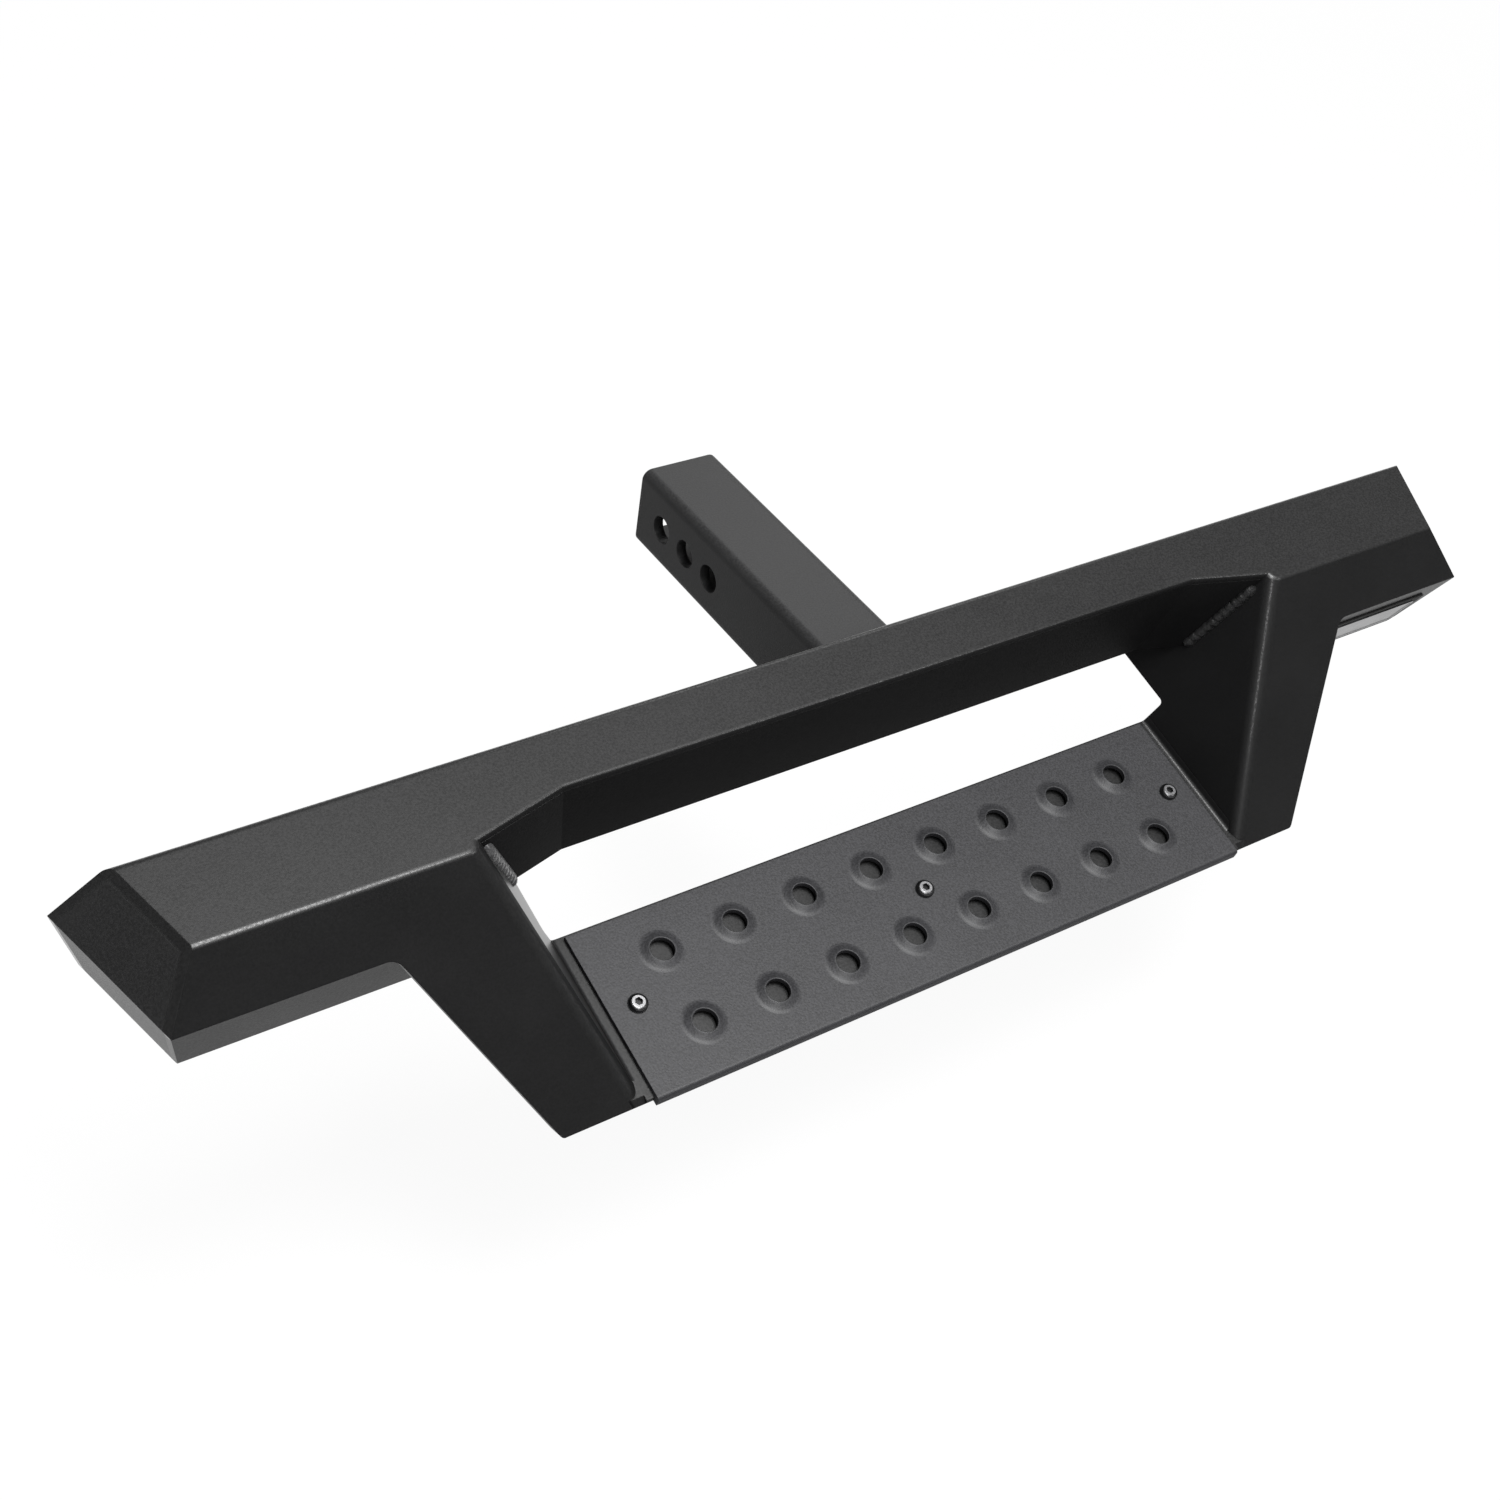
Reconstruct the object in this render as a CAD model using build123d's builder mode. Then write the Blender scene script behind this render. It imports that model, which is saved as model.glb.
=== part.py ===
"""Hitch receiver step: a folded steel bar on a square shank, with a dropped tread between two legs.

World frame: X along the bar, Y along the shank towards the vehicle, Z up, origin on the shank axis
at the middle pin hole. The bar and tread are tipped about X, so they have a frame of their own:
x along the bar, v back from the top front corner, w square to the top face.
"""
import os
from math import cos, radians, sin, sqrt, tan

from build123d import *

# Driving dimensions, millimetres and degrees

# Square shank
shank_width = 50.8
shank_wall = 6.35
shank_corner = 6.0
shank_inner_corner = 2.0
pin_hole_diameter = 16.7
pin_pitch = 25.4
pin_count = 3
shank_end_margin = 25.4
pin_to_bar = 130.6

# Bar section
bar_tilt = 13.1
sheet = 4.0
top_depth = 50.8
facet_drop = 25.4
bar_height = 76.2
front_tuck = 12.0
shank_drop = 42.7
front_bend = 4.0
back_bend = 4.0
pan_bend = 4.0

# Bar ends
end_half_length = 394.3
end_splay = 18.3
end_run = 27.0
end_tuck = 13.8

# Legs and their inner webs
leg_drop = 105.8
web_half_top = 257.0
web_lean = 27.0
leg_width_top = 64.9
leg_width_bottom = 45.9
leg_bend = 9.0
leg_armpit = 9.0
leg_toe = 2.0
web_step_depth = 87.5
web_back = -8.0
web_notch_round = 3.0

# Recess in the middle of the bar
recess_depth = 16.8
recess_slant_run_top = 51.0
recess_slant_run_bottom = 32.0
recess_height = 59.0
recess_slant = 13.5
recess_edge_round = 2.0
recess_weld_leg = 5.0

# Step tray and tread plate
tray_sheet = 3.2
tray_flange_height = 7.0
tray_bend = 3.0
flange_front = 9.0
plate_sheet = 3.0
plate_side_gap = 4.4
plate_back = -10.0
plate_lip = 3.0
plate_bend = 2.0
tread_rows = 2
tread_pitch = 44.5
tread_hole_diameter = 13.3
dimple_diameter = 25.4
dimple_height = 2.4
dimple_rim = 0.6
dimple_rim_slope = 0.4
tread_centre_from_back = 48.5

# Step fasteners
screw_edge_margin = 16.0
screw_diameter = 6.0
screw_length = 16.0
screw_head_diameter = 10.5
screw_head_height = 3.3
screw_dome = 1.9
screw_socket_width = 4.0
screw_socket_depth = 2.0
screw_hole_clearance = 0.3
washer_diameter = 12.0
washer_thickness = 1.6
nut_width = 10.0
nut_height = 5.0
thread_clearance = 0.05

# Shank weld and name plate
shank_weld_leg = 6.0
shank_weld_toe = 0.6
badge_length = 88.0
badge_height = 36.0
badge_thickness = 1.2
badge_corner = 3.0
badge_from_end = 42.0
badge_from_fold = 30.0

os.makedirs("parts", exist_ok=True)

# Directions and planes of the tipped bar frame
back_dir = Vector(0, cos(radians(bar_tilt)), sin(radians(bar_tilt)))
up_dir = Vector(0, -sin(radians(bar_tilt)), cos(radians(bar_tilt)))
shank_meets_bar = Vector(0, -pin_to_bar, 0)
bar_origin = shank_meets_bar - back_dir * top_depth + up_dir * shank_drop


def bar_vector(x, v, w):
    """Direction in world axes of a direction given in the bar frame."""
    return Vector(x, 0, 0) + back_dir * v + up_dir * w


def bar_point(x, v, w):
    """World place of a point given in the bar frame."""
    return bar_origin + bar_vector(x, v, w)


def level(w):
    """Plane parallel to the top face at height w, with local axes x and v."""
    return Plane(origin=bar_point(0, 0, w), x_dir=(1, 0, 0), z_dir=up_dir)


def across(v):
    """Plane square to the bar's depth at distance v, with local axes x and w."""
    return Plane(origin=bar_point(0, v, 0), x_dir=(1, 0, 0), z_dir=-back_dir)


section_plane = Plane(origin=bar_origin, x_dir=back_dir, z_dir=(1, 0, 0))
facet_plane = Plane(origin=bar_origin, x_dir=(1, 0, 0), z_dir=bar_vector(0, -1, 1))
back_plane = Plane(origin=bar_point(0, top_depth, 0), x_dir=(-1, 0, 0), z_dir=back_dir)
beyond_end = end_half_length + 4 * end_run
trim_height = 2 * sheet + leg_bend
leg_trim = -leg_drop - trim_height

# The inner web leans outward going up, and carries the visible face of the foot space
lean = tan(radians(web_lean))
web_cos = cos(radians(web_lean))
web_plane = Plane(
    origin=bar_point(web_half_top, 0, 0),
    x_dir=back_dir,
    z_dir=bar_vector(1, 0, -lean),
)
web_outer_plane = web_plane.offset(sheet)


def web_half(w):
    """Half distance between the visible faces of the webs at height w."""
    return web_half_top + lean * w


leg_half_top = web_half(-facet_drop) + leg_width_top
leg_half_bottom = web_half(-leg_drop) + leg_width_bottom


def leg_half(w):
    """Half distance between the outer edges of the legs at height w."""
    return leg_half_top + (leg_half_top - leg_half_bottom) / (leg_drop - facet_drop) * (w + facet_drop)


# Each end has an upper facet that leans out and a lower one that tucks in, both splayed in plan
splay = tan(radians(end_splay))
upper_end = Plane(
    origin=bar_point(end_half_length, 0, 0),
    x_dir=bar_vector(splay, 1, 0),
    z_dir=bar_vector(1, -splay, end_run / facet_drop),
)
lower_end = Plane(
    origin=bar_point(end_half_length + end_run, 0, -facet_drop),
    x_dir=bar_vector(splay, 1, 0),
    z_dir=bar_vector(1, -splay, -end_tuck / (bar_height - facet_drop)),
)

# Corners of the bar section in v and w
fold = (-facet_drop, -facet_drop)
bottom_front = (-facet_drop + front_tuck, -bar_height)
section_outline = [(0, 0), (top_depth, 0), (top_depth, -bar_height), bottom_front, fold]
facet_slope = sqrt(2)
inner_back = top_depth - sheet
inner_top_front = sheet * (sqrt(2) - 1)

# Lower front face of the bar, from the fold to the bottom
lower_face_drop = bar_height - facet_drop
lower_face_length = sqrt(front_tuck**2 + lower_face_drop**2)
lower_face_plane = Plane(
    origin=bar_point(0, *fold),
    x_dir=(1, 0, 0),
    z_dir=bar_vector(0, -lower_face_drop, -front_tuck),
)

# Inner corners of the bottom pan, offset from the outline by the sheet
pan_top = -bar_height + sheet
lower_lean = front_tuck / lower_face_drop
pan_inner_shift = sheet * lower_face_length / lower_face_drop
pan_inner_corner = (bottom_front[0] + pan_inner_shift - lower_lean * sheet, pan_top)
fold_depth = (sheet * facet_slope - pan_inner_shift) / (1 + lower_lean)
pan_inner_fold = (fold[0] + pan_inner_shift + lower_lean * fold_depth, fold[1] - fold_depth)

# Recess panel: upright face, slanted ends, and a return that runs back under the bar
recess_half_top = web_half_top - recess_slant_run_top
recess_half_bottom = web_half(-recess_height) - recess_slant_run_bottom
recess_taper = (recess_half_top - recess_half_bottom) / recess_height
recess_slope = tan(radians(recess_slant))
return_run = recess_height + pan_top
return_foot = recess_depth - return_run
web_tail = return_foot + sheet


def recess_half(w):
    """Half length of the recess panel's upright middle at height w."""
    return recess_half_top + recess_taper * w


def recess_end(w):
    """Depth v at which the slanted end of the recess panel meets the web at height w."""
    return recess_depth - recess_slope * (web_half(w) - recess_half(w))


def recess_outline(w, offset):
    """Corners in x and v of the recess panel at height w, its front face set back by offset."""
    return [
        (-web_half(w), recess_end(w) + offset),
        (-recess_half(w), recess_depth + offset),
        (recess_half(w), recess_depth + offset),
        (web_half(w), recess_end(w) + offset),
    ]


# Shank: square section from its open end to beyond the back wall
shank_end = (pin_count - 1) / 2 * pin_pitch + shank_end_margin
shank_end_plane = Plane(origin=(0, shank_end, 0), x_dir=(1, 0, 0), z_dir=(0, 1, 0))
shank_reach = shank_end + pin_to_bar + shank_width
shank_cut_height = shank_width / cos(radians(bar_tilt))

# Heights of the tread stack, from the legs' lower ends upwards
tray_bottom = -leg_drop
tray_top = tray_bottom + tray_sheet
tread_top = tray_top + plate_sheet
plate_front = -leg_drop - plate_lip
tread_centre = plate_back - tread_centre_from_back
tread_plane = Plane(origin=bar_point(0, tread_centre, tread_top), x_dir=(1, 0, 0), z_dir=up_dir)
flange_top = tray_bottom + tray_flange_height
flange_width = tray_sheet / web_cos
bend_run = tray_bend * tan(radians(45 - web_lean / 2))
floor_half = web_half(tray_top) - bend_run
plate_half_length = floor_half - plate_side_gap
screw_spread = plate_half_length - screw_edge_margin
tread_span = 2 * (screw_spread - screw_head_diameter / 2 - dimple_diameter / 2)
tread_columns = int(tread_span / tread_pitch) + 1
screw_places = {"left": -screw_spread, "middle": 0.0, "right": screw_spread}


def trim_right_end():
    """Cut the part being built back to the two facets of the right end."""
    split(bisect_by=upper_end, keep=Keep.BOTTOM)
    split(bisect_by=lower_end, keep=Keep.BOTTOM)


def nearest_edge(builder, point):
    """Edge of the part being built that lies nearest a point."""
    return builder.edges().sort_by_distance(point)[0]


# Main shell: top, back wall, front facets, legs and webs folded from one sheet
with BuildPart() as main_shell:
    with BuildSketch(facet_plane):
        with BuildLine():
            Polyline(
                (web_half(trim_height), trim_height * facet_slope),
                (beyond_end, trim_height * facet_slope),
                (beyond_end, -facet_drop * facet_slope),
                (leg_half_top, -facet_drop * facet_slope),
                (leg_half(leg_trim), leg_trim * facet_slope),
                (web_half(leg_trim), leg_trim * facet_slope),
                close=True,
            )
        make_face()
    extrude(amount=-sheet)
    armpit = facet_plane.from_local_coords((leg_half_top, -facet_drop * facet_slope, -sheet / 2))
    fillet(nearest_edge(main_shell, armpit), radius=leg_armpit)
    with BuildSketch(web_plane):
        with BuildLine():
            Polyline(
                (trim_height, trim_height / web_cos),
                (web_tail, trim_height / web_cos),
                (web_tail, -web_step_depth / web_cos),
                (web_back, -web_step_depth / web_cos),
                (web_back, flange_top / web_cos),
                (flange_top + flange_front, flange_top / web_cos),
                (leg_trim + flange_front, leg_trim / web_cos),
                (leg_trim, leg_trim / web_cos),
                close=True,
            )
        make_face()
    extrude(amount=sheet)
    split(bisect_by=level(-leg_drop), keep=Keep.TOP)
    split(bisect_by=level(sheet), keep=Keep.BOTTOM)
    bend_middle = bar_point(web_half(-leg_drop / 2), -leg_drop / 2, -leg_drop / 2)
    fillet(nearest_edge(main_shell, bend_middle), radius=leg_bend)
    toe = bar_point(leg_half_bottom, -leg_drop + sheet / facet_slope, -leg_drop)
    fillet(nearest_edge(main_shell, toe), radius=leg_toe)
    notch = web_plane.from_local_coords((web_back, -web_step_depth / web_cos, sheet / 2))
    fillet(nearest_edge(main_shell, notch), radius=web_notch_round)
    split(bisect_by=level(0), keep=Keep.BOTTOM)
    with BuildSketch(level(0)):
        with BuildLine():
            Polyline(
                (0, top_depth),
                (0, recess_depth),
                (recess_half_top, recess_depth),
                (web_half_top + sheet, recess_end(0) - recess_slope * sheet),
                (web_half_top + sheet, inner_top_front),
                (beyond_end, inner_top_front),
                (beyond_end, top_depth),
                close=True,
            )
        make_face()
    extrude(amount=-sheet)
    with BuildSketch(section_plane):
        with Locations((top_depth, 0)):
            Rectangle(sheet, bar_height, align=(Align.MAX, Align.MAX))
    extrude(amount=beyond_end)
    trim_right_end()
    recess_edge = nearest_edge(main_shell, bar_point(recess_half_top / 2, recess_depth, 0))
    slant_middle = (recess_half_top + web_half_top) / 2
    slant_depth = (recess_depth + recess_end(0)) / 2
    slant_edge = nearest_edge(main_shell, bar_point(slant_middle, slant_depth, 0))
    fillet([recess_edge, slant_edge], radius=recess_edge_round)
    fillet(nearest_edge(main_shell, bar_point(leg_half_top, 0, 0)), radius=front_bend)
    fillet(nearest_edge(main_shell, bar_point(leg_half_top, top_depth, 0)), radius=back_bend)
    mirror(about=Plane.YZ)
main_shell.part.label = "main_shell"
export_step(main_shell.part, "parts/main_shell.step")

# Bottom pan: lower front faces and underside, closing the shell from below
with BuildPart() as bottom_pan:
    with BuildSketch(section_plane.offset(web_half(-bar_height))):
        with BuildLine():
            Polyline(
                fold,
                bottom_front,
                (inner_back, -bar_height),
                (inner_back, pan_top),
                pan_inner_corner,
                pan_inner_fold,
                close=True,
            )
        make_face()
    extrude(amount=beyond_end - web_half(-bar_height))
    fillet(nearest_edge(bottom_pan, bar_point(end_half_length, *bottom_front)), radius=pan_bend)
    split(bisect_by=web_outer_plane, keep=Keep.TOP)
    trim_right_end()
    with BuildSketch(facet_plane):
        with BuildLine():
            Polyline(
                (web_half(0), 0),
                (leg_half(0), 0),
                (leg_half(leg_trim), leg_trim * facet_slope),
                (web_half(leg_trim), leg_trim * facet_slope),
                close=True,
            )
        make_face()
    extrude(amount=-sheet, mode=Mode.SUBTRACT)
    add(main_shell.part, mode=Mode.SUBTRACT)
    with BuildSketch(level(-bar_height)):
        with BuildLine():
            Polyline(
                (0, return_foot),
                (web_half(-bar_height), return_foot),
                (web_half(-bar_height), web_tail),
                (web_half_top, web_tail),
                (web_half_top, inner_back),
                (0, inner_back),
                close=True,
            )
        make_face()
    extrude(amount=sheet)
    mirror(about=Plane.YZ)
bottom_pan.part.label = "bottom_pan"
export_step(bottom_pan.part, "parts/bottom_pan.step")


def cap_prism(upper, lower):
    """Filling of the bar section inside the sheet, cut back to two end planes."""
    with BuildPart() as prism:
        with BuildSketch(section_plane.offset(leg_half_top)):
            with BuildLine():
                Polyline(*section_outline, close=True)
            make_face()
            offset(amount=-sheet, kind=Kind.INTERSECTION, mode=Mode.REPLACE)
        extrude(amount=beyond_end - leg_half_top)
        split(bisect_by=upper, keep=Keep.BOTTOM)
        split(bisect_by=lower, keep=Keep.BOTTOM)
    return prism.part


cap_outside = cap_prism(upper_end, lower_end)
cap_inside = cap_prism(upper_end.offset(-sheet), lower_end.offset(-sheet))

# End caps, set flush inside the shell
with BuildPart() as end_cap_right:
    add(cap_outside)
    add(cap_inside, mode=Mode.SUBTRACT)
end_cap_right.part.label = "end_cap_right"
export_step(end_cap_right.part, "parts/end_cap_right.step")

with BuildPart() as end_cap_left:
    mirror(end_cap_right.part, about=Plane.YZ)
end_cap_left.part.label = "end_cap_left"
export_step(end_cap_left.part, "parts/end_cap_left.step")

# Recess panel between the webs
with BuildPart() as recess_panel:
    for height, shift in ((-sheet, 0), (-recess_height, 0), (pan_top, -return_run)):
        with BuildSketch(level(height)):
            with BuildLine():
                Polyline(
                    *recess_outline(height, shift),
                    *reversed(recess_outline(height, shift + sheet)),
                    close=True,
                )
            make_face()
    loft(ruled=True)
recess_panel.part.label = "recess_panel"
export_step(recess_panel.part, "parts/recess_panel.step")

# Weld beads where the recess panel meets the webs
with BuildPart() as recess_weld_right:
    for height in (-2 * sheet, -recess_height):
        with BuildSketch(level(height)):
            with BuildLine():
                Polyline(
                    (web_half(height), recess_end(height)),
                    (web_half(height), recess_end(height) - recess_weld_leg),
                    (web_half(height) - recess_weld_leg, recess_end(height) + recess_slope * recess_weld_leg),
                    close=True,
                )
            make_face()
    loft(ruled=True)
recess_weld_right.part.label = "recess_weld_right"
export_step(recess_weld_right.part, "parts/recess_weld_right.step")

with BuildPart() as recess_weld_left:
    mirror(recess_weld_right.part, about=Plane.YZ)
recess_weld_left.part.label = "recess_weld_left"
export_step(recess_weld_left.part, "parts/recess_weld_left.step")

# Step tray: floor under the tread, its sides turned up into the webs
with BuildPart() as step_tray:
    with BuildSketch(across(web_back)):
        with BuildLine():
            Polyline(
                (-web_half(flange_top), flange_top),
                (-web_half(tray_top), tray_top),
                (web_half(tray_top), tray_top),
                (web_half(flange_top), flange_top),
                (web_half(flange_top) + flange_width, flange_top),
                (web_half(tray_bottom) + flange_width, tray_bottom),
                (-web_half(tray_bottom) - flange_width, tray_bottom),
                (-web_half(flange_top) - flange_width, flange_top),
                close=True,
            )
        make_face()
    extrude(amount=leg_drop + web_back)
    for side in (-1, 1):
        inner_corner = bar_point(side * web_half(tray_top), tread_centre, tray_top)
        fillet(nearest_edge(step_tray, inner_corner), radius=tray_bend)
        outer_corner = bar_point(side * (web_half(tray_bottom) + flange_width), tread_centre, tray_bottom)
        fillet(nearest_edge(step_tray, outer_corner), radius=tray_bend + tray_sheet)
        with BuildSketch(level(tray_bottom)):
            with BuildLine():
                Polyline(
                    (side * floor_half, -leg_drop),
                    (side * (web_half(tray_bottom) + flange_front), -leg_drop),
                    (side * web_half(tray_bottom), flange_front - leg_drop),
                    (side * floor_half, flange_front - leg_drop),
                    close=True,
                )
            make_face()
        leg_corner = bar_vector(side * lean, 1, 1)
        extrude(amount=tray_sheet * leg_corner.length, dir=leg_corner)
        with BuildSketch(section_plane.offset(side * floor_half)):
            with BuildLine():
                Polyline(
                    (-leg_drop, tray_bottom),
                    (tray_top, tray_top),
                    (tray_top + flange_front, tray_top),
                    (flange_top + flange_front, flange_top),
                    (-leg_drop, flange_top),
                    close=True,
                )
            make_face()
        extrude(amount=side * web_half_top, mode=Mode.SUBTRACT)
    add(main_shell.part, mode=Mode.SUBTRACT)
    with BuildSketch(level(tray_top)):
        with Locations(*[(x, tread_centre) for x in screw_places.values()]):
            Circle(screw_diameter / 2 + screw_hole_clearance)
    extrude(amount=-tray_sheet, mode=Mode.SUBTRACT)
step_tray.part.label = "step_tray"
export_step(step_tray.part, "parts/step_tray.step")

# One raised grip hole, its top surface a curve that rises from the plate to the rim
with BuildPart() as grip_dimple:
    with BuildSketch(Plane.XZ):
        with BuildLine():
            top_curve = Spline(
                (dimple_diameter / 2, 0),
                (tread_hole_diameter / 2 + dimple_rim, dimple_height),
                tangents=((-1, 0), (-1, dimple_rim_slope)),
            )
            rim = Line(top_curve @ 1, (tread_hole_diameter / 2, dimple_height))
            wall = Line(rim @ 1, (tread_hole_diameter / 2, dimple_height - plate_sheet))
            under_rim = Line(wall @ 1, (tread_hole_diameter / 2 + dimple_rim, dimple_height - plate_sheet))
            under_curve = Spline(
                under_rim @ 1,
                (dimple_diameter / 2, -plate_sheet),
                tangents=((1, 0), (1, 0)),
            )
            Line(under_curve @ 1, top_curve @ 0)
        make_face()
    revolve(axis=Axis.Z)
    rim_edges = grip_dimple.edges().filter_by(GeomType.CIRCLE).group_by(Axis.Z)[-1].sort_by(SortBy.RADIUS)
    fillet(rim_edges[0], radius=dimple_rim / 2)

# Tread plate with two rows of grip holes and a lip over the tray's front edge
with BuildPart() as step_plate:
    with BuildSketch(level(tray_top)):
        with Locations((0, plate_back)):
            Rectangle(2 * plate_half_length, plate_back - plate_front, align=(Align.CENTER, Align.MAX))
    extrude(amount=plate_sheet)
    with BuildSketch(level(tray_top)):
        with Locations((0, plate_front)):
            Rectangle(2 * plate_half_length, plate_lip, align=(Align.CENTER, Align.MIN))
    extrude(amount=-tray_sheet)
    fillet(nearest_edge(step_plate, bar_point(0, plate_front, tread_top)), radius=plate_bend)
    with BuildSketch(tread_plane):
        with GridLocations(tread_pitch, tread_pitch, tread_columns, tread_rows):
            Circle(dimple_diameter / 2)
        with Locations(*[(x, 0) for x in screw_places.values()]):
            Circle(screw_diameter / 2 + screw_hole_clearance)
    extrude(amount=-plate_sheet, mode=Mode.SUBTRACT)
    with Locations(tread_plane):
        with GridLocations(tread_pitch, tread_pitch, tread_columns, tread_rows):
            add(grip_dimple.part)
step_plate.part.label = "step_plate"
export_step(step_plate.part, "parts/step_plate.step")

# Screw stacks that hold the plate to the tray
for place, screw_x in screw_places.items():
    seat = Plane(origin=bar_point(screw_x, tread_centre, tread_top), x_dir=(1, 0, 0), z_dir=up_dir)
    washer_seat = seat.offset(-plate_sheet - tray_sheet)
    nut_seat = washer_seat.offset(-washer_thickness)

    with BuildPart() as step_screw:
        with BuildSketch(seat):
            Circle(screw_head_diameter / 2)
        extrude(amount=screw_head_height)
        fillet(step_screw.edges().sort_by_distance(seat.origin)[-1], radius=screw_dome)
        with BuildSketch(seat):
            Circle(screw_diameter / 2)
        extrude(amount=-screw_length)
        with BuildSketch(seat.offset(screw_head_height)):
            RegularPolygon(screw_socket_width / 2, side_count=6, major_radius=False)
        extrude(amount=-screw_socket_depth, mode=Mode.SUBTRACT)
    step_screw.part.label = f"step_screw_{place}"
    export_step(step_screw.part, f"parts/step_screw_{place}.step")

    with BuildPart() as step_washer:
        with BuildSketch(washer_seat):
            Circle(washer_diameter / 2)
            Circle(screw_diameter / 2 + screw_hole_clearance, mode=Mode.SUBTRACT)
        extrude(amount=-washer_thickness)
    step_washer.part.label = f"step_washer_{place}"
    export_step(step_washer.part, f"parts/step_washer_{place}.step")

    with BuildPart() as step_nut:
        with BuildSketch(nut_seat):
            RegularPolygon(nut_width / 2, side_count=6, major_radius=False)
            Circle(screw_diameter / 2 + thread_clearance, mode=Mode.SUBTRACT)
        extrude(amount=-nut_height)
    step_nut.part.label = f"step_nut_{place}"
    export_step(step_nut.part, f"parts/step_nut_{place}.step")

# Square shank, its front end cut to sit flush on the tipped back wall
with BuildPart() as hitch_tube:
    with BuildSketch(shank_end_plane):
        RectangleRounded(shank_width, shank_width, shank_corner)
        RectangleRounded(
            shank_width - 2 * shank_wall,
            shank_width - 2 * shank_wall,
            shank_inner_corner,
            mode=Mode.SUBTRACT,
        )
    extrude(amount=-shank_reach)
    split(bisect_by=back_plane, keep=Keep.TOP)
    with BuildSketch(Plane.YZ):
        with GridLocations(pin_pitch, pin_pitch, pin_count, 1):
            Circle(pin_hole_diameter / 2)
    extrude(amount=shank_width, both=True, mode=Mode.SUBTRACT)
hitch_tube.part.label = "hitch_tube"
export_step(hitch_tube.part, "parts/hitch_tube.step")

# Fillet weld around the shank at the back wall
with BuildPart() as shank_weld:
    with BuildSketch(back_plane):
        with Locations((0, -shank_drop)):
            RectangleRounded(
                shank_width + 2 * shank_weld_leg,
                shank_cut_height + 2 * shank_weld_leg,
                shank_corner + shank_weld_leg,
            )
    with BuildSketch(back_plane.offset(shank_weld_leg)):
        with Locations((0, -shank_drop - shank_weld_leg * tan(radians(bar_tilt)))):
            RectangleRounded(shank_width + shank_weld_toe, shank_cut_height + shank_weld_toe, shank_corner)
    loft(ruled=True)
    with BuildSketch(shank_end_plane):
        RectangleRounded(shank_width, shank_width, shank_corner)
    extrude(amount=-shank_reach, mode=Mode.SUBTRACT)
shank_weld.part.label = "shank_weld"
export_step(shank_weld.part, "parts/shank_weld.step")

# Blank name plate on the lower front face at the right
with BuildPart() as badge_plate:
    with BuildSketch(lower_face_plane):
        with Locations((end_half_length - badge_from_end, -badge_from_fold)):
            RectangleRounded(badge_length, badge_height, badge_corner)
    extrude(amount=badge_thickness)
badge_plate.part.label = "badge_plate"
export_step(badge_plate.part, "parts/badge_plate.step")
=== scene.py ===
"""Looks of a hitch receiver step: satin black coat, weld beads, bright screws and a plain studio."""

import logging
import math
from dataclasses import dataclass
from enum import Enum
from typing import Any, Iterable

import bpy
from mathutils import Matrix, Vector


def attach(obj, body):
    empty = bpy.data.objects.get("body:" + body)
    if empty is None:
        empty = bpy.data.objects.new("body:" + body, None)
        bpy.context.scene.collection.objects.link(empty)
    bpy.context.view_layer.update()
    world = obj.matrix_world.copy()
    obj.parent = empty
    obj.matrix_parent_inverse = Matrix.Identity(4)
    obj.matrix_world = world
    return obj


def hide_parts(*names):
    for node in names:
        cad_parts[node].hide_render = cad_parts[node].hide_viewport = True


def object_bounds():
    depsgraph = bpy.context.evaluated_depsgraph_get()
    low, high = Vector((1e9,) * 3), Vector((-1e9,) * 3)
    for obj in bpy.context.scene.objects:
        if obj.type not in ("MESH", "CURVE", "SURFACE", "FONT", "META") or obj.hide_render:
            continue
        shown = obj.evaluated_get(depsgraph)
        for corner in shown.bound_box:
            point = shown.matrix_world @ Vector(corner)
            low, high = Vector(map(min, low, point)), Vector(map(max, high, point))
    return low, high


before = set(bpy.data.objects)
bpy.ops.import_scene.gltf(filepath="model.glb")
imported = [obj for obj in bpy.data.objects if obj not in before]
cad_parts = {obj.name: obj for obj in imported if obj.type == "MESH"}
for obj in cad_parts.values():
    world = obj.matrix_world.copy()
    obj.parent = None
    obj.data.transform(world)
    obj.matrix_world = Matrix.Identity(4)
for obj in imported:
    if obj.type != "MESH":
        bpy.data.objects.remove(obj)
CAD_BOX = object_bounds()

log = logging.getLogger("hitch_step")

Colour = tuple[float, float, float, float]

MM = 0.001
BODY = "root"
X_AXIS = Vector((1, 0, 0))
Z_AXIS = Vector((0, 0, 1))
SMOOTH_ANGLE = math.radians(40)
NOISE_MIDDLE = 0.5
LEVEL_TOLERANCE = 0.001 * MM
UPWARD = 0.9


class Slot(Enum):
    """Material slots of the record."""

    BAR = "bar_coat"
    TREAD = "tread_coat"
    WELD = "weld_coat"
    STAINLESS = "stainless"
    BADGE = "badge_metal"


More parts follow.
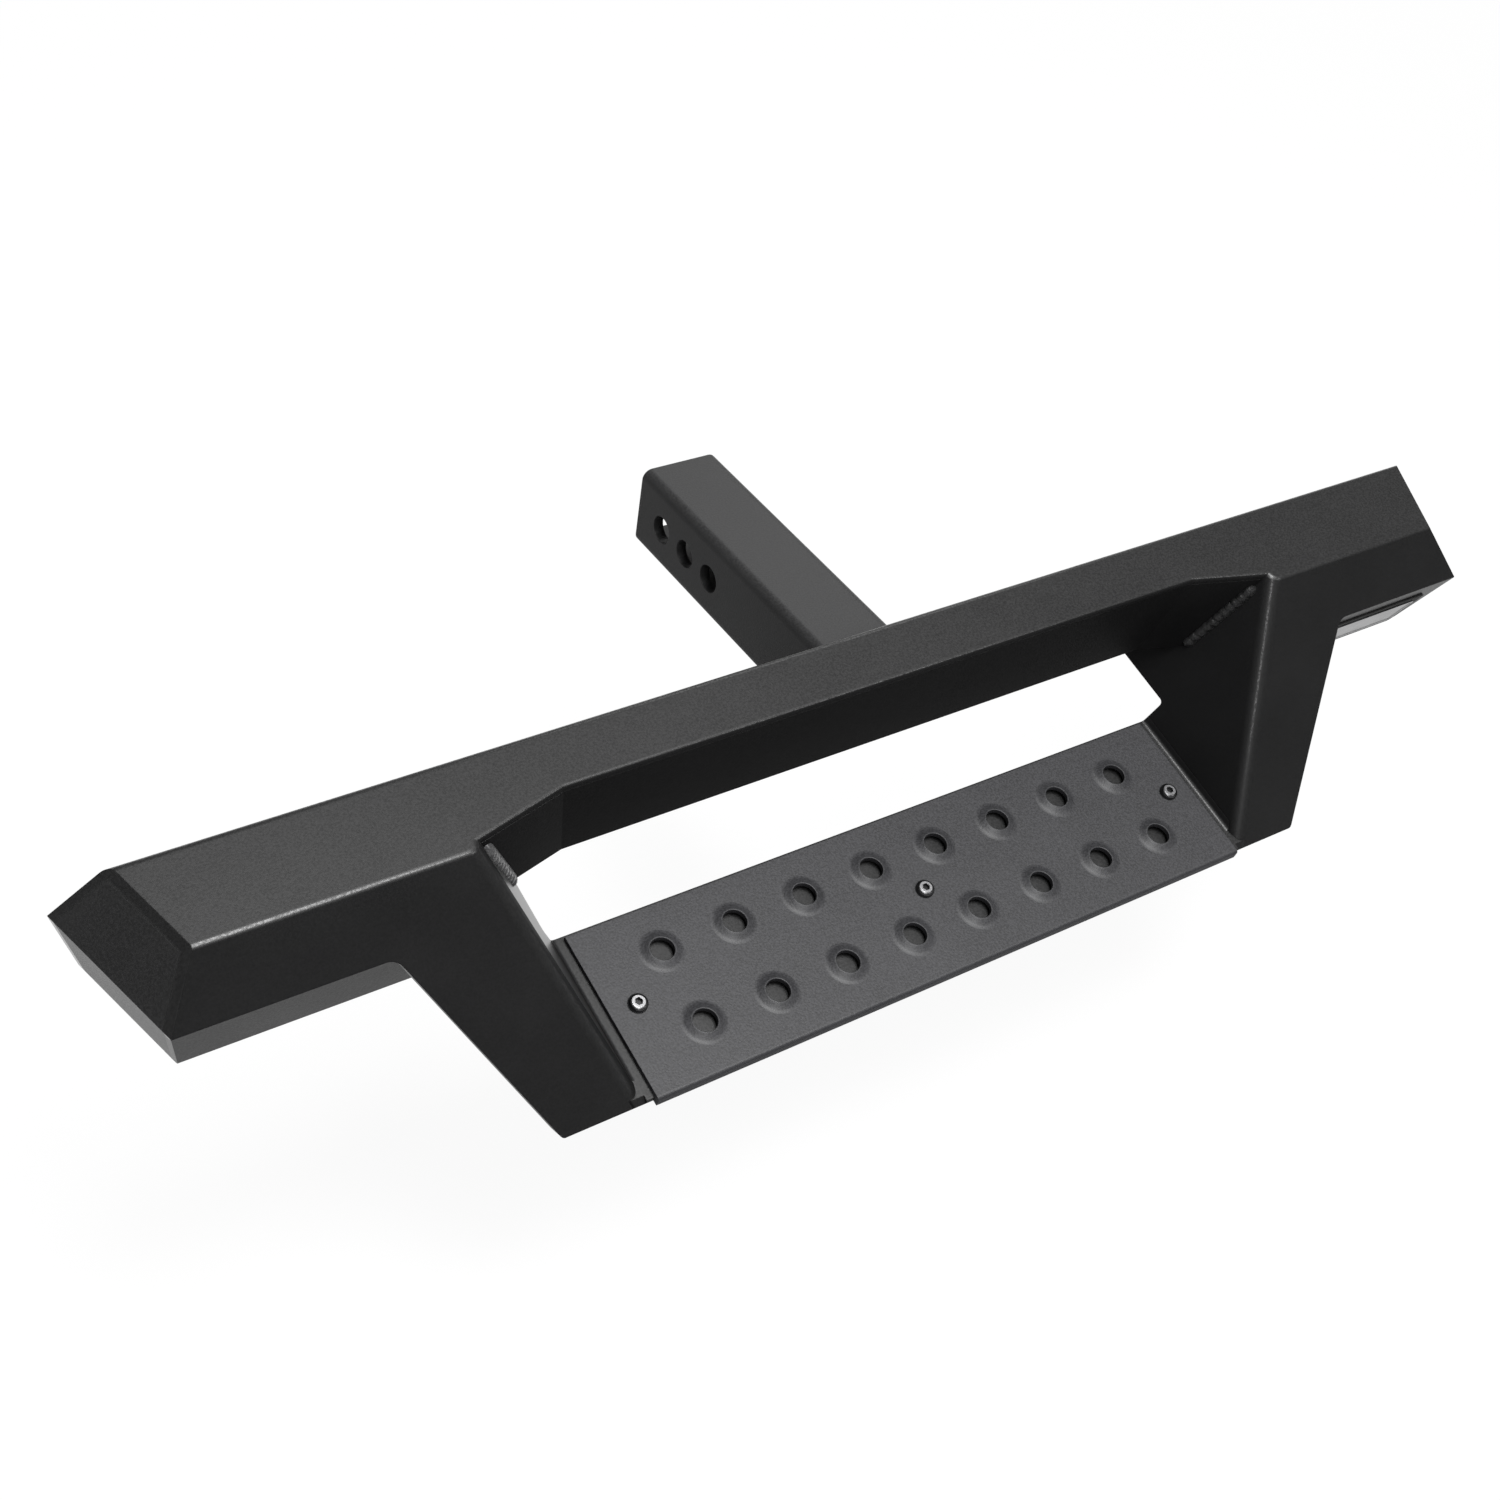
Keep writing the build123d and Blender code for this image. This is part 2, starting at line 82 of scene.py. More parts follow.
@dataclass(frozen=True)
class BarFrame:
    """The bar's own axes, tipped back from the shank: x along it, v to the back, w up.

    The angle is in degrees and the sizes are in mm.
    """

    tilt: float = 13.1
    pin_to_bar: float = 130.6
    top_depth: float = 50.8
    shank_drop: float = 42.7

    def back(self) -> Vector:
        """Return the direction v."""
        return Vector((0, math.cos(math.radians(self.tilt)), math.sin(math.radians(self.tilt))))

    def up(self) -> Vector:
        """Return the direction w."""
        return Vector((0, -math.sin(math.radians(self.tilt)), math.cos(math.radians(self.tilt))))

    def point(self, x: float, v: float, w: float) -> Vector:
        """Return a point of the bar.

        Args:
            x: Along the bar in mm.
            v: To the back in mm, from the top's front edge.
            w: Up in mm, from the top face.

        Returns:
            The point in the part's frame in metres.
        """
        wall = Vector((x, -self.pin_to_bar, 0))
        corner = wall - self.back() * self.top_depth + self.up() * self.shank_drop
        return (corner + self.back() * v + self.up() * w) * MM


BAR = BarFrame()


class Value:
    """A number socket in a shader graph, with arithmetic that adds Math nodes."""

    def __init__(self, graph: "Graph", socket: bpy.types.NodeSocket) -> None:
        """Keep the graph and the output socket.

        Args:
            graph: Graph that owns the socket.
            socket: Output socket to wrap.
        """
        self.graph = graph
        self.socket = socket

    def _math(self, operation: str, first: Any, second: Any) -> "Value":
        """Return first and second joined by one Math operation."""
        return self.graph.node("ShaderNodeMath", {"operation": operation}, {0: first, 1: second})

    def __add__(self, other: Any) -> "Value":
        """Return self + other."""
        return self._math("ADD", self, other)

    def __radd__(self, other: Any) -> "Value":
        """Return other + self."""
        return self._math("ADD", other, self)

    def __sub__(self, other: Any) -> "Value":
        """Return self - other."""
        return self._math("SUBTRACT", self, other)

    def __rsub__(self, other: Any) -> "Value":
        """Return other - self."""
        return self._math("SUBTRACT", other, self)

    def __mul__(self, other: Any) -> "Value":
        """Return self * other."""
        return self._math("MULTIPLY", self, other)

    def larger(self, other: Any) -> "Value":
        """Return the larger of self and other."""
        return self._math("MAXIMUM", self, other)


class Graph:
    """Node tree of one material or of the world."""

    def __init__(self, tree: bpy.types.NodeTree) -> None:
        """Clear the tree.

        Args:
            tree: Node tree to fill.
        """
        self.tree = tree
        tree.nodes.clear()

    def node(
        self,
        kind: str,
        settings: dict[str, Any] | None = None,
        inputs: dict[int | str, Any] | None = None,
        output: int | str = 0,
    ) -> Value:
        """Add a node.

        Args:
            kind: Blender's node type.
            settings: Attributes set before the sockets; "stops" gives a ramp's places and colours.
            inputs: Values or links by socket name or number.
            output: Output socket to return.

        Returns:
            The chosen output socket.
        """
        made = self.tree.nodes.new(kind)
        for name, value in (settings or {}).items():
            if name == "stops":
                self._set_stops(made.color_ramp, value)
            else:
                setattr(made, name, value)
        for key, value in (inputs or {}).items():
            if isinstance(value, Value):
                self.tree.links.new(value.socket, made.inputs[key])
            else:
                made.inputs[key].default_value = value
        return Value(self, made.outputs[output]) if made.outputs else Value(self, None)

    @staticmethod
    def _set_stops(ramp: bpy.types.ColorRamp, stops: list[tuple[float, Colour]]) -> None:
        """Give a colour ramp its stops."""
        while len(ramp.elements) < len(stops):
            ramp.elements.new(0.5)
        for element, (place, colour) in zip(ramp.elements, stops):
            element.position = place
            element.color = colour

    def place(self) -> Value:
        """Return the place on the piece in metres, in the part's own frame."""
        return self.node("ShaderNodeTexCoord", output="Object")

    def noise(self, place: Value, grain: float, detail: float = 2.0) -> Value:
        """Return a cloudy noise.

        Args:
            place: Coordinates to read.
            grain: Size of a feature in metres.
            detail: Octaves of finer noise.

        Returns:
            Noise from 0 to 1.
        """
        inputs = {"Vector": place, "Scale": 1.0 / grain, "Detail": detail}
        return self.node("ShaderNodeTexNoise", inputs=inputs, output="Fac")

    def blend(self, mask: Value, low: Colour | Value, high: Colour | Value) -> Value:
        """Return a colour between low and high by a mask from 0 to 1."""
        inputs = {0: mask, 6: low, 7: high}
        return self.node("ShaderNodeMix", {"data_type": "RGBA"}, inputs, output=2)

    @staticmethod
    def mixed(first: Value, second: Value, share: float) -> Value:
        """Return two masks added, the first by its share and the second by the rest."""
        return first * share + second * (1.0 - share)

    def bump(self, height: Value, strength: float, distance: float, normal: Value | None = None) -> Value:
        """Return a normal bent by a height.

        Args:
            height: Height from 0 to 1.
            strength: Share of the bend that is kept.
            distance: Height of 1 in metres.
            normal: Normal to start from.

        Returns:
            The bent normal.
        """
        inputs = {"Height": height, "Strength": strength, "Distance": distance}
        if normal is not None:
            inputs["Normal"] = normal
        return self.node("ShaderNodeBump", inputs=inputs)

    def step(self, value: Value, low: float, high: float) -> Value:
        """Return a smooth step.

        Args:
            value: Value to read.
            low: Where the step leaves 0.
            high: Where it reaches 1.

        Returns:
            Mask from 0 to 1.
        """
        limits = {"Value": value, "From Min": low, "From Max": high}
        return self.node("ShaderNodeMapRange", {"interpolation_type": "SMOOTHSTEP"}, limits)

    def share(self, vector: Value, direction: Iterable[float]) -> Value:
        """Return how far a vector reaches along a direction."""
        inputs = {0: vector, 1: tuple(direction)}
        return self.node("ShaderNodeVectorMath", {"operation": "DOT_PRODUCT"}, inputs, output="Value")

    def turned_up(self, low: float, high: float) -> Value:
        """Return 0 where a face is steep or looks down and 1 where it lies nearly level.

        Args:
            low: Upward share of the normal at which the mask leaves 0.
            high: Upward share at which it reaches 1.

        Returns:
            Mask from 0 to 1.
        """
        normal = self.node("ShaderNodeTexCoord", output="Normal")
        return self.step(self.share(normal, Z_AXIS), low, high)

    def end_faces(self, low: float, high: float) -> Value:
        """Return 1 on the faces that look out at the bar's two ends.

        Args:
            low: Product of the normal's x and the place's x in metres at which the mask leaves 0.
            high: Product at which it reaches 1.

        Returns:
            Mask from 0 to 1.
        """
        normal = self.node("ShaderNodeTexCoord", output="Normal")
        outward = self.share(normal, X_AXIS) * self.share(self.place(), X_AXIS)
        return self.step(outward, low, high)

    def grazing(self, low: float, high: float) -> Value:
        """Return a gloss mask that rises where the surface is seen at a flat angle.

        Args:
            low: Facing value at which the mask leaves 0.
            high: Facing value at which it reaches 1.

        Returns:
            Mask from 0 to 1.
        """
        return self.step(self.node("ShaderNodeLayerWeight", output="Facing"), low, high)

    def shader(self, **inputs: Any) -> Value:
        """Return a Principled shader; keyword names are socket names with underscores."""
        sockets = {name.replace("_", " "): value for name, value in inputs.items()}
        return self.node("ShaderNodeBsdfPrincipled", inputs=sockets)

    def between(self, mask: Value, low: Value, high: Value) -> Value:
        """Return a shader between low and high by a mask from 0 to 1."""
        return self.node("ShaderNodeMixShader", inputs={0: mask, 1: low, 2: high})

    def finish(self, shader: Value) -> None:
        """Make a shader the material's surface."""
        self.node("ShaderNodeOutputMaterial", inputs={"Surface": shader})


def new_material(name: str) -> tuple[bpy.types.Material, Graph]:
    """Make an empty node material.

    Args:
        name: Material name.

    Returns:
        The material and its graph.
    """
    material = bpy.data.materials.new(name)
    material.use_nodes = True
    return material, Graph(material.node_tree)


def grey(level: float, blue: float = 1.02) -> Colour:
    """Return a near neutral colour, its blue raised a little."""
    return (level, level, level * blue, 1.0)


@dataclass(frozen=True)
class PowderCoat:
    """Black powder coat with a fine pebbled skin: satin on level faces; steep and downward faces get a
    duller, low-reflection copy of the same coat, which is painted shade.
    """

    name: str
    tone: float
    blue: float = 1.02
    roughness: float = 0.42
    specular: float = 0.5
    gloss: float = 0.3
    gloss_roughness: float = 0.2
    # Settings of the duller copy on steep faces; its low specular is painted shade.
    matt_roughness: float = 0.55
    shaded_matt_specular: float = 0.04
    rim_gloss: float = 1.0
    rim: tuple[float, float] = (0.8, 0.98)
    end_gloss: float = 0.0
    pebble: float = 1.1 * MM
    skin_share: float = 0.8
    skin_height: float = 0.14 * MM
    cloud: float = 45 * MM
    soft_edge: float = 0.7 * MM
    edge_samples: int = 4
    tone_range: tuple[float, float] = (0.5, 1.5)
    grain_step: tuple[float, float] = (0.35, 0.65)
    grainy_share: float = 0.6
    plain_share: float = 0.4
    pebble_uneven: float = 0.2
    cloud_uneven: float = 0.06
    rim_roughness: float = 0.3
    end_step: tuple[float, float] = (0.25, 0.3)
    satin_step: tuple[float, float] = (0.4, 0.9)

    def material(self) -> bpy.types.Material:
        """Return the coat as a material."""
        material, graph = new_material(self.name)
        place = graph.place()
        pebbles = graph.noise(place, self.pebble, 3.0)
        clouds = graph.noise(place, self.cloud)
        grains = graph.step(pebbles, *self.grain_step)
        dark, light = (grey(self.tone * part, self.blue) for part in self.tone_range)
        grainy = graph.mixed(grains, clouds, self.grainy_share)
        plain = graph.mixed(pebbles, clouds, self.plain_share)
        fine = (pebbles - NOISE_MIDDLE) * self.pebble_uneven
        uneven = fine + (clouds - NOISE_MIDDLE) * self.cloud_uneven
        edge = graph.node("ShaderNodeBevel", {"samples": self.edge_samples}, {"Radius": self.soft_edge})
        skin = graph.bump(pebbles, self.skin_share, self.skin_height, edge)
        satin = graph.shader(
            Base_Color=graph.blend(grainy, dark, light),
            Roughness=self.roughness + uneven,
            Specular_IOR_Level=self.specular,
            Coat_Weight=grains * (2 * self.gloss),
            Coat_Roughness=self.gloss_roughness,
            Normal=skin,
        )
        rim_coat = graph.grazing(*self.rim) * self.rim_gloss
        end_coat = graph.end_faces(*self.end_step) * self.end_gloss
        # Painted shade: this duller copy with low specular keeps the recess, webs and front faces dark; a
        # gloss coat returns where they are seen at a flat angle and on the end faces.
        shaded_matt = graph.shader(
            Base_Color=graph.blend(plain, dark, light),
            Roughness=self.matt_roughness + uneven,
            Specular_IOR_Level=self.shaded_matt_specular,
            Coat_Weight=rim_coat + end_coat,
            Coat_Roughness=self.rim_roughness,
            Normal=skin,
        )
        graph.finish(graph.between(graph.turned_up(*self.satin_step), shaded_matt, satin))
        return material


@dataclass(frozen=True)
class WeldCoat:
    """Weld bead under the black coat, lumpy along its length."""

    name: str
    tone: float
    specular: float = 0.2
    lump: float = 2.6 * MM
    lump_blend: float = 0.6
    grain: float = 0.8 * MM
    tone_range: tuple[float, float] = (0.5, 1.5)
    roughness: float = 0.38
    uneven: float = 0.3
    rim: tuple[float, float] = (0.3, 0.9)
    rim_roughness: float = 0.3
    grain_height: float = 0.4
    skin_share: float = 0.6
    skin_height: float = 0.8 * MM

    def material(self) -> bpy.types.Material:
        """Return the coated weld as a material."""
        material, graph = new_material(self.name)
        place = graph.place()
        inputs = {"Vector": place, "Scale": 1.0 / self.lump, "Smoothness": self.lump_blend}
        lumps = graph.node("ShaderNodeTexVoronoi", {"feature": "SMOOTH_F1"}, inputs)
        grains = graph.noise(place, self.grain, 3.0)
        dark, light = (grey(self.tone * part) for part in self.tone_range)
        bead = graph.shader(
            Base_Color=graph.blend(grains, dark, light),
            Roughness=self.roughness + (grains - NOISE_MIDDLE) * self.uneven,
            Specular_IOR_Level=self.specular,
            Coat_Weight=graph.grazing(*self.rim),
            Coat_Roughness=self.rim_roughness,
            Normal=graph.bump(1.0 - lumps + grains * self.grain_height, self.skin_share, self.skin_height),
        )
        graph.finish(bead)
        return material


@dataclass(frozen=True)
class Stainless:
    """Turned stainless steel with fine tool marks, with its own tones for a screw's crown and below it;
    the darker tone below the crown is painted shade on the dome's flank and in the socket.
    """

    name: str
    tone: float = 0.6
    flank_shade_tone: float = 0.6
    crown: float = -96.3
    crown_edge: tuple[float, float] = (0.02 * MM, 0.005 * MM)
    mark: float = 0.5 * MM
    stain: float = 6 * MM
    tone_range: tuple[float, float] = (0.8, 1.15)
    roughness: float = 0.3
    uneven: float = 0.16
    mark_share: float = 0.12
    mark_height: float = 0.05 * MM

    def material(self) -> bpy.types.Material:
        """Return the steel as a material."""
        material, graph = new_material(self.name)
        place = graph.place()
        marks = graph.noise(place, self.mark, 4.0)
        stains = graph.noise(place, self.stain)
        # Below the crown the darker tone is painted shade on the dome's flank and in the socket; nuts and
        # washers get one tone for both.
        level, flank_shade = (
            graph.blend(stains, *(grey(tone * part) for part in self.tone_range))
            for tone in (self.tone, self.flank_shade_tone)
        )
        top = BAR.point(0, 0, self.crown).dot(BAR.up())
        mask = graph.step(graph.share(place, BAR.up()), *(top - drop for drop in self.crown_edge))
        turned = graph.shader(
            Base_Color=graph.blend(mask, flank_shade, level),
            Metallic=1.0,
            Roughness=self.roughness + (marks - NOISE_MIDDLE) * self.uneven,
            Normal=graph.bump(marks, self.mark_share, self.mark_height),
        )
        graph.finish(turned)
        return material


@dataclass(frozen=True)
class BrushedPlate:
    """Brushed bright metal, its marks along the bar."""

    name: str
    tone: float = 0.17
    stretch: float = 0.04
    mark: float = 0.35 * MM
    cloud: float = 18 * MM
    marks_in_mask: float = 0.7
    mask_step: tuple[float, float] = (0.3, 0.7)
    tone_range: tuple[float, float] = (0.4, 1.6)
    roughness: float = 0.3
    uneven: float = 0.2
    mark_share: float = 0.2
    mark_height: float = 0.04 * MM

    def material(self) -> bpy.types.Material:
        """Return the brushed metal as a material."""
        material, graph = new_material(self.name)
        stretched = {"Vector": graph.place(), "Scale": (self.stretch, 1.0, 1.0)}
        marks = graph.noise(graph.node("ShaderNodeMapping", inputs=stretched), self.mark, 3.0)
        clouds = graph.noise(graph.place(), self.cloud)
        mask = graph.step(graph.mixed(marks, clouds, self.marks_in_mask), *self.mask_step)
        dark, light = (grey(self.tone * part) for part in self.tone_range)
        brushed = graph.shader(
            Base_Color=graph.blend(mask, dark, light),
            Metallic=1.0,
            Roughness=self.roughness + (marks - NOISE_MIDDLE) * self.uneven,
            Normal=graph.bump(marks, self.mark_share, self.mark_height),
        )
        graph.finish(brushed)
        return material


def dress(names: Iterable[str], material: bpy.types.Material) -> None:
    """Give CAD nodes one material.

    Args:
        names: Node names.
        material: Finish to put on them.
    """
    for name in names:
        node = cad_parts[name]
        node.data.materials.clear()
        node.data.materials.append(material)
        log.info("%s wears %s", name, material.name)


def start_piece(name: str) -> bpy.types.Object:
    """Name the primitive just added and return it."""
    piece = bpy.context.object
    piece.name = name
    piece.data.name = name
    return piece


def apply_modifier(piece: bpy.types.Object, kind: str, **settings: Any) -> None:
    """Add a modifier and apply it.

    Args:
        piece: Piece to change.
        kind: Blender's modifier type.
        settings: Modifier attributes.
    """
    modifier = piece.modifiers.new(kind.lower(), kind)
    for name, value in settings.items():
        setattr(modifier, name, value)
    bpy.ops.object.modifier_apply(modifier=modifier.name)


def set_down(piece: bpy.types.Object, place: Vector, along: Vector, up: Vector) -> None:
    """Move a piece made at the origin to its place and leave its object at the origin.

    Args:
        piece: Piece to move, selected and active.
        place: Where its origin goes.
        along: Where its x axis points.
        up: Where its z axis points, before it is squared with along.
    """
    first = along.normalized()
    second = up.cross(first).normalized()
    third = first.cross(second)
    turn = Matrix((first, second, third)).transposed().to_4x4()
    piece.matrix_world = Matrix.Translation(place) @ turn
    bpy.ops.object.transform_apply(location=True, rotation=True, scale=True)


def finish_piece(
    piece: bpy.types.Object, material: bpy.types.Material, replaced: str = ""
) -> None:
    """Dress a new piece and tie it to the body.

    Args:
        piece: Piece to finish.
        material: Its finish.
        replaced: CAD node that it stands for.
    """
    piece.data.materials.append(material)
    bpy.ops.object.shade_smooth_by_angle(angle=SMOOTH_ANGLE)
    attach(piece, BODY)
    if replaced:
        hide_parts(replaced)
    log.info("%s has %d faces", piece.name, len(piece.data.polygons))


@dataclass
class WeldBead:
    """Row of overlapping weld lobes along a straight seam, each leaned and slewed by some degrees."""

    name: str
    start: Vector
    end: Vector
    outward: Vector
    radius: float = 3.7 * MM
    stretch: float = 1.3
    flat: float = 0.75
    pitch: float = 4.6 * MM
    lean: float = 18.0
    slew: float = 24.0
    voxel: float = 0.4 * MM
    lump: float = 0.7 * MM
    lump_seed: int = 7
    segments: int = 24
    rings: int = 12
    smoothing: float = 0.5
    smooth_rounds: int = 6

    def build(self, material: bpy.types.Material, replaced: str) -> None:
        """Model one lobe, repeat it along the seam and fuse the row.

        Args:
            material: Finish of the bead.
            replaced: CAD node that the bead stands for.
        """
        run = self.end - self.start
        lobe = 2 * self.radius * self.stretch
        count = int((run.length - lobe) / self.pitch) + 1
        bpy.ops.object.select_all(action="DESELECT")
        bpy.ops.mesh.primitive_uv_sphere_add(
            segments=self.segments, ring_count=self.rings, radius=self.radius
        )
        piece = start_piece(self.name)
        bpy.ops.object.mode_set(mode="EDIT")
        bpy.ops.mesh.select_all(action="SELECT")
        bpy.ops.transform.resize(value=(self.stretch, 1.0, self.flat))
        for axis, angle in (("Y", self.lean), ("Z", self.slew)):
            turn = math.radians(angle)
            bpy.ops.transform.rotate(value=turn, orient_axis=axis, center_override=(0, 0, 0))
        bpy.ops.object.mode_set(mode="OBJECT")
        step = (self.pitch, 0, 0)
        apply_modifier(
            piece, "ARRAY", count=count, use_relative_offset=False, use_constant_offset=True,
            constant_offset_displace=step,
        )
        apply_modifier(piece, "REMESH", mode="VOXEL", voxel_size=self.voxel)
        bpy.ops.object.mode_set(mode="EDIT")
        bpy.ops.mesh.select_all(action="SELECT")
        bpy.ops.transform.vertex_random(offset=self.lump, seed=self.lump_seed)
        bpy.ops.object.mode_set(mode="OBJECT")
        apply_modifier(piece, "SMOOTH", factor=self.smoothing, iterations=self.smooth_rounds)
        margin = run.normalized() * (run.length - (count - 1) * self.pitch) / 2
        set_down(piece, self.start + margin, run, self.outward)
        finish_piece(piece, material, replaced)


@dataclass
class Bar:
    """Folded bar with its legs, pan, end caps and recess.

    The web and recess sizes are those of the CAD part, in mm and degrees in the bar's axes.
    """

    coat: PowderCoat = PowderCoat(
        "bar_black", 0.0075, gloss_roughness=0.12, end_gloss=0.6, skin_share=0.25, soft_edge=1.1 * MM
    )
    # Painted shade: the recess panel wears the bar's coat in a darker tone, for the shade inside the
    # recess.
    recess_shade_coat: PowderCoat = PowderCoat("recess_painted_shade_black", 0.005)
    pan_coat: PowderCoat = PowderCoat(
        "pan_black", 0.009, matt_roughness=0.42, shaded_matt_specular=0.065, rim_gloss=0.35, rim=(0.8, 0.9)
    )
    cap_coat: PowderCoat = PowderCoat(
        "cap_black", 0.009, matt_roughness=0.42, shaded_matt_specular=0.35, rim_gloss=0.0, skin_share=0.1
    )
    # Painted light and shade: the two beads are one weld, the left one lighter and glossier for the light
    # on it, the right one darker for the shade under the web.
    lit_left_weld: WeldCoat = WeldCoat("left_bead_painted_light", 0.04, 0.4)
    shaded_right_weld: WeldCoat = WeldCoat("right_bead_painted_shade", 0.012)
    web_half_top: float = 257.0
    web_lean: float = 27.0
    recess_half_top: float = 206.0
    recess_taper: float = 0.1875
    recess_depth: float = 16.8
    recess_slope: float = 0.2401
    bead_top: float = -8.0
    bead_bottom: float = -58.0
    bead_rise: tuple[float, float] = (-1.0, -0.8)

    def corner(self, w: float, side: int) -> Vector:
        """Return the corner of web and recess at one height.

        Args:
            w: Height in mm below the top face.
            side: -1 for the left end and 1 for the right.

        Returns:
            The bead's middle line there, raised out of the corner.
        """
        web = self.web_half_top + math.tan(math.radians(self.web_lean)) * w
        recess = self.recess_half_top + self.recess_taper * w
        depth = self.recess_depth - self.recess_slope * (web - recess)
        return BAR.point(side * (web + self.bead_rise[0]), depth + self.bead_rise[1], w)

    def build(self) -> None:
        """Dress the bar's sheets and model its weld beads."""
        dress(["main_shell"], self.coat.material())
        dress(["end_cap_left", "end_cap_right"], self.cap_coat.material())
        dress(["recess_panel"], self.recess_shade_coat.material())
        dress(["bottom_pan"], self.pan_coat.material())
        for name, side, weld in (("left", -1, self.lit_left_weld), ("right", 1, self.shaded_right_weld)):
            outward = BAR.point(-side, -1, 0) - BAR.point(0, 0, 0)
            start = self.corner(self.bead_top, side)
            end = self.corner(self.bead_bottom, side)
            bead = WeldBead(f"recess_bead_{name}", start, end, outward)
            bead.build(weld.material(), f"recess_weld_{name}")


@dataclass
class Step:
    """Tread plate on its tray, with its screw stacks."""

    tray_coat: PowderCoat = PowderCoat("tray_black", 0.009, skin_share=0.2)
    tread_coat: PowderCoat = PowderCoat("tread_black", 0.03, blue=1.08, roughness=0.5, gloss=0.0)
    # The screws' dark tone below the crown is painted shade.
    screw_steel_shaded_flank: Stainless = Stainless("screw_steel_shaded_flank", 0.6, 0.08)
    nut_steel: Stainless = Stainless("nut_steel")
    places: tuple[str, ...] = ("left", "middle", "right")

    def build(self) -> None:
        """Dress the tray, the plate and the screw stacks."""
        dress(["step_tray"], self.tray_coat.material())
        dress(["step_plate"], self.tread_coat.material())
        dress([f"step_screw_{place}" for place in self.places], self.screw_steel_shaded_flank.material())
        nuts = self.nut_steel.material()
        for kind in ("washer", "nut"):
            dress([f"step_{kind}_{place}" for place in self.places], nuts)


@dataclass
class Shank:
    """Square hollow shank and the weld at its root."""

    coat: PowderCoat = PowderCoat("shank_black", 0.019, gloss=0.0, shaded_matt_specular=0.12)
    weld: WeldCoat = WeldCoat("shank_bead_black", 0.014)

    def build(self) -> None:
        """Dress the shank and its weld."""
        dress(["hitch_tube"], self.coat.material())
        dress(["shank_weld"], self.weld.material())


@dataclass
class Badge:
    """Blank black plate on the right lower front face, with a plain bright field.

    The places are in mm in the bar's axes; fold and foot are the face's upper and lower edges.
    """

    coat: PowderCoat = PowderCoat("badge_black", 0.004, rim_gloss=0.0)
    metal: BrushedPlate = BrushedPlate("badge_field_metal")
    middle_x: float = 352.3
    fold: tuple[float, float] = (-25.4, -25.4)
    foot: tuple[float, float] = (-13.4, -76.2)
    from_fold: float = 30.0
    thickness: float = 1.2
    field_size: tuple[float, float] = (78 * MM, 26 * MM)
    field_rise: float = 0.6 * MM
    field_round: float = 3 * MM
    field_round_segments: int = 6
    rim: float = 1.6 * MM
    sink: float = 0.3 * MM

    def build(self) -> None:
        """Dress the plate and model the field on it."""
        dress(["badge_plate"], self.coat.material())
        down = BAR.point(0, *self.foot) - BAR.point(0, *self.fold)
        outward = down.normalized().cross(X_AXIS)
        middle = BAR.point(self.middle_x, *self.fold) + down.normalized() * self.from_fold * MM
        self._field(middle + outward * self.thickness * MM, outward)

    def _field(self, place: Vector, outward: Vector) -> None:
        """Model the bright field: a slab with rounded corners, a rim and a lowered middle.

        Args:
            place: Middle of the field on the plate's face.
            outward: Direction off the plate.
        """
        bpy.ops.object.select_all(action="DESELECT")
        bpy.ops.mesh.primitive_cube_add(size=1.0)
        piece = start_piece("badge_field")
        bpy.ops.object.mode_set(mode="EDIT")
        bpy.ops.mesh.select_all(action="SELECT")
        bpy.ops.transform.resize(value=(*self.field_size, self.field_rise))
        bpy.ops.transform.translate(value=(0, 0, self.field_rise / 2))
        self._pick_edges(piece)
        bpy.ops.mesh.bevel(offset=self.field_round, segments=self.field_round_segments, affect="EDGES")
        self._pick_top(piece)
        bpy.ops.mesh.inset(thickness=self.rim)
        bpy.ops.mesh.inset(thickness=self.sink, depth=-self.sink)
        bpy.ops.object.mode_set(mode="OBJECT")
        set_down(piece, place, X_AXIS, outward)
        finish_piece(piece, self.metal.material())

    @staticmethod
    def _pick_edges(piece: bpy.types.Object) -> None:
        """Select the slab's upright edges, in edit mode."""
        bpy.ops.mesh.select_mode(type="EDGE")
        bpy.ops.mesh.select_all(action="DESELECT")
        bpy.ops.object.mode_set(mode="OBJECT")
        points = piece.data.vertices
        for edge in piece.data.edges:
            low, high = (points[index].co.z for index in edge.vertices)
            edge.select = abs(high - low) > LEVEL_TOLERANCE
        bpy.ops.object.mode_set(mode="EDIT")

    @staticmethod
    def _pick_top(piece: bpy.types.Object) -> None:
        """Select the slab's top face, in edit mode."""
        bpy.ops.mesh.select_mode(type="FACE")
        bpy.ops.mesh.select_all(action="DESELECT")
        bpy.ops.object.mode_set(mode="OBJECT")
        for face in piece.data.polygons:
            face.select = face.normal.z > UPWARD
        bpy.ops.object.mode_set(mode="EDIT")


@dataclass
class SoftLamp:
    """Soft rectangular lamp aimed at a point."""

    name: str
    place: tuple[float, float, float]
    aim: tuple[float, float, float]
    size: tuple[float, float]
    power: float

    def build(self) -> None:
        """Add the lamp to the scene."""
        light = bpy.data.lights.new(self.name, "AREA")
        light.shape = "RECTANGLE"
        light.size, light.size_y = self.size
        light.energy = self.power
        lamp = bpy.data.objects.new(self.name, light)
        direction = Vector(self.aim) - Vector(self.place)
        turn = direction.to_track_quat("-Z", "Y").to_matrix().to_4x4()
        lamp.matrix_world = Matrix.Translation(Vector(self.place)) @ turn
        bpy.context.scene.collection.objects.link(lamp)


@dataclass
class FarLamp:
    """Wide far lamp that lights the part and the floor evenly."""

    name: str
    towards: tuple[float, float, float]
    spread: float
    power: float

    def build(self) -> None:
        """Add the lamp to the scene."""
        light = bpy.data.lights.new(self.name, "SUN")
        light.angle = math.radians(self.spread)
        light.energy = self.power
        lamp = bpy.data.objects.new(self.name, light)
        lamp.matrix_world = Vector(self.towards).to_track_quat("Z", "Y").to_matrix().to_4x4()
        bpy.context.scene.collection.objects.link(lamp)


